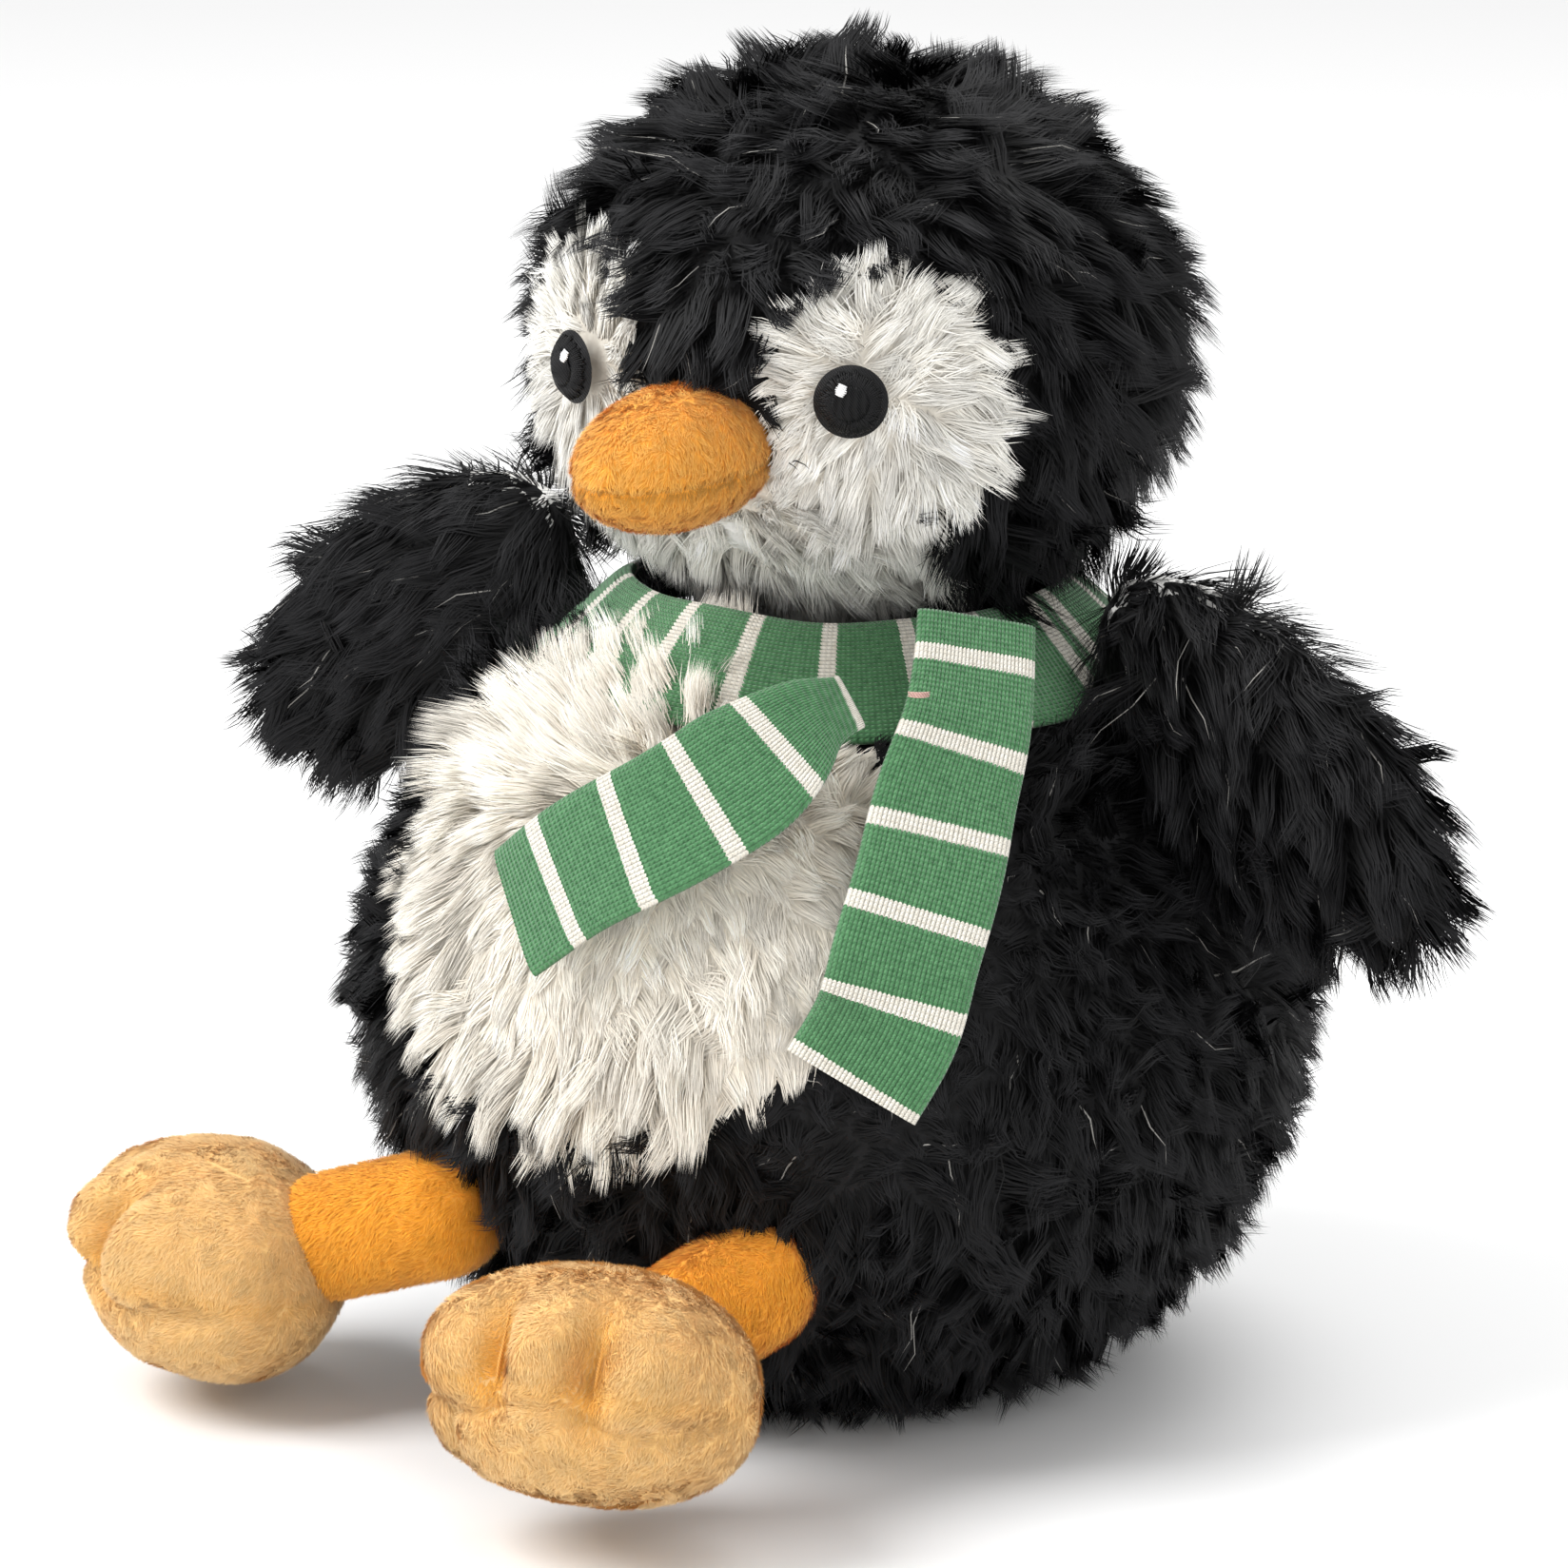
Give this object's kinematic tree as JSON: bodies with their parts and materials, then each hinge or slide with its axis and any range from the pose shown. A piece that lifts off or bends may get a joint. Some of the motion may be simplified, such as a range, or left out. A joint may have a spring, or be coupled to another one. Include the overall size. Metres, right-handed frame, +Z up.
{
  "type": "plush penguin",
  "caption": "Seated plush penguin with long curly pile, a cream belly, stuffed wings and feet, and a striped knitted scarf tied round its neck.",
  "frame": {"origin": "centre of the flat seat that the toy sits on", "axes": "+Z up out of the seat, -Y the way the belly faces, +X towards the penguin's left wing"},
  "size_m": [0.2632, 0.2335, 0.25],
  "materials": {
    "black_pile": "long curly pile, matt with soft sheen",
    "white_pile": "long wavy pile, matt",
    "cream_pile": "long wavy pile, matt",
    "filling": "loose polyester fibre",
    "bag_cloth": "plain woven cotton",
    "beak_pile": "short brushed pile",
    "leg_pile": "short brushed pile",
    "foot_pile": "short dense pile",
    "foot_thread": "twisted polyester thread",
    "eye_thread": "satin-stitched rayon thread",
    "glint_thread": "satin-stitched rayon thread",
    "scarf_knit": "fine rib knit with cream stripes",
    "tack_thread": "sewing thread"
  },
  "bodies": {
    "torso": {"body_front": "black_pile", "body_back_left": "black_pile", "body_back_right": "black_pile", "belly_panel": "cream_pile", "seat_gusset": "black_pile", "body_stuffing": "filling", "pellet_bag": "bag_cloth", "scarf_band": "scarf_knit", "scarf_tack_stitch": "tack_thread"},
    "neck": {"neck_core": "filling"},
    "head": {"head_side_left": "black_pile", "head_side_right": "black_pile", "head_crown": "black_pile", "head_nape": "black_pile", "face_left": "white_pile", "face_right": "white_pile", "head_stuffing": "filling", "beak_upper": "beak_pile", "beak_lower": "beak_pile", "beak_stuffing": "filling", "eye_left": "eye_thread", "eye_right": "eye_thread", "eye_glint_left": "glint_thread", "eye_glint_right": "glint_thread"},
    "scarf_tail_left": {"scarf_tail_left": "scarf_knit"},
    "scarf_tail_right": {"scarf_tail_right": "scarf_knit"},
    "wing_left": {"wing_left_front": "black_pile", "wing_left_back": "black_pile", "wing_left_stuffing": "filling"},
    "leg_left": {"leg_left_sleeve": "leg_pile", "leg_left_stuffing": "filling"},
    "foot_left": {"foot_left_top": "foot_pile", "foot_left_sole": "foot_pile", "foot_left_stuffing": "filling", "toe_stitch_left_inner": "foot_thread", "toe_stitch_left_outer": "foot_thread"},
    "wing_right": {"wing_right_front": "black_pile", "wing_right_back": "black_pile", "wing_right_stuffing": "filling"},
    "leg_right": {"leg_right_sleeve": "leg_pile", "leg_right_stuffing": "filling"},
    "foot_right": {"foot_right_top": "foot_pile", "foot_right_sole": "foot_pile", "foot_right_stuffing": "filling", "toe_stitch_right_inner": "foot_thread", "toe_stitch_right_outer": "foot_thread"}
  },
  "joints": [
    {"name": "head_turn", "type": "hinge", "parent": "torso", "child": "neck", "pos_m": [0, 0.002, 0.147], "axis": [0, 0, 1], "range_deg": [-25, 25], "stiffness_Nm_per_rad": 0.06},
    {"name": "head_nod", "type": "hinge", "parent": "neck", "child": "head", "pos_m": [0, 0.002, 0.147], "axis": [0.9969, 0.0785, 0], "range_deg": [-4, 4], "stiffness_Nm_per_rad": 0.5},
    {"name": "wing_left_lift", "type": "hinge", "parent": "torso", "child": "wing_left", "pos_m": [0.069, -0.005, 0.146], "axis": [0, -1, 0], "range_deg": [0, 40]},
    {"name": "wing_right_lift", "type": "hinge", "parent": "torso", "child": "wing_right", "pos_m": [-0.069, -0.005, 0.146], "axis": [0, 1, 0], "range_deg": [0, 40]},
    {"name": "leg_left_swing", "type": "hinge", "parent": "torso", "child": "leg_left", "pos_m": [0.032, -0.0785, 0.04], "axis": [0, 0, 1], "range_deg": [-8, 8]},
    {"name": "foot_left_tilt", "type": "hinge", "parent": "leg_left", "child": "foot_left", "pos_m": [0.0297, -0.0941, 0.0365], "axis": [0.9848, 0.1736, 0], "range_deg": [-10, 10], "stiffness_Nm_per_rad": 0.05},
    {"name": "leg_right_swing", "type": "hinge", "parent": "torso", "child": "leg_right", "pos_m": [-0.0365, -0.079, 0.0415], "axis": [0, 0, 1], "range_deg": [-8, 8]},
    {"name": "foot_right_tilt", "type": "hinge", "parent": "leg_right", "child": "foot_right", "pos_m": [-0.0578, -0.082, 0.0344], "axis": [0.6691, -0.7431, 0], "range_deg": [-10, 10], "stiffness_Nm_per_rad": 0.05},
    {"name": "scarf_tail_left_lift", "type": "hinge", "parent": "torso", "child": "scarf_tail_left", "pos_m": [0.0534, -0.03879, 0.154], "axis": [-0.5878, -0.809, 0], "range_deg": [0, 50]},
    {"name": "scarf_tail_right_lift", "type": "hinge", "parent": "torso", "child": "scarf_tail_right", "pos_m": [0.03507, -0.06459, 0.142], "axis": [-0.8788, -0.4772, 0], "range_deg": [0, 50]}
  ]
}
